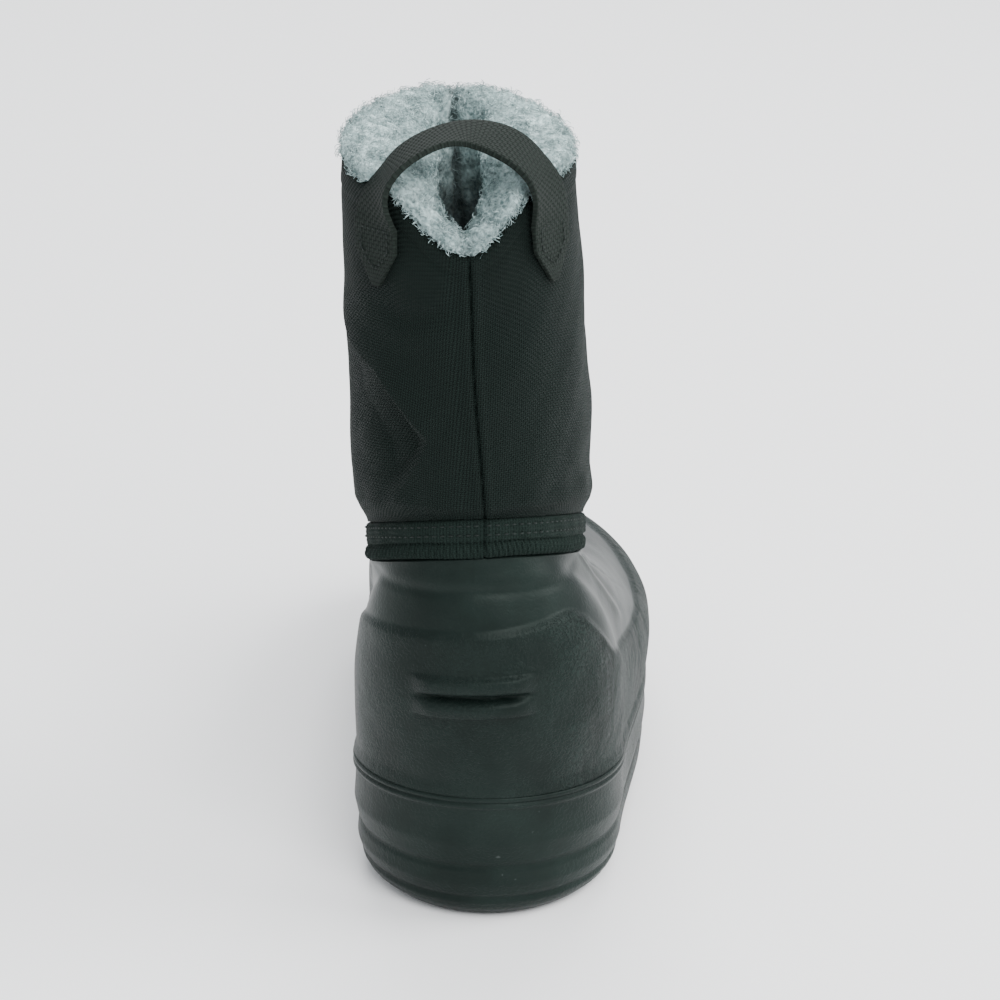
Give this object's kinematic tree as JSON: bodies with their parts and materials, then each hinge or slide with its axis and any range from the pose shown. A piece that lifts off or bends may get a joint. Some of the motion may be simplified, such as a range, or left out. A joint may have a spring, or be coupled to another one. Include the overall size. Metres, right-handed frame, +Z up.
{
  "type": "snow boot",
  "caption": "Right snow boot with a ribbed foam foot, textile shaft, deep fleece lining and a webbing pull loop across the notched back of the collar.",
  "frame": {"origin": "on the ground under the centre of the heel", "axes": "+Z up, +Y towards the toe, +X towards the outer side of the right foot"},
  "size_m": [0.1068, 0.2714, 0.2607],
  "materials": {
    "foam": "moulded foam with a soft sheen, finely grained on the sides",
    "cloth": "dark oxford weave",
    "tape": "dark overlocked cloth with two rows of stitches",
    "webbing": "ribbed webbing",
    "fleece": "pale blue-grey fleece with soft tufts",
    "felt": "flat felted fleece"
  },
  "bodies": {
    "root": {"sole": "foam", "shell": "foam", "footbed": "felt", "band": "tape", "shaft": "cloth", "lining": "fleece", "pull_loop": "webbing"}
  },
  "joints": []
}
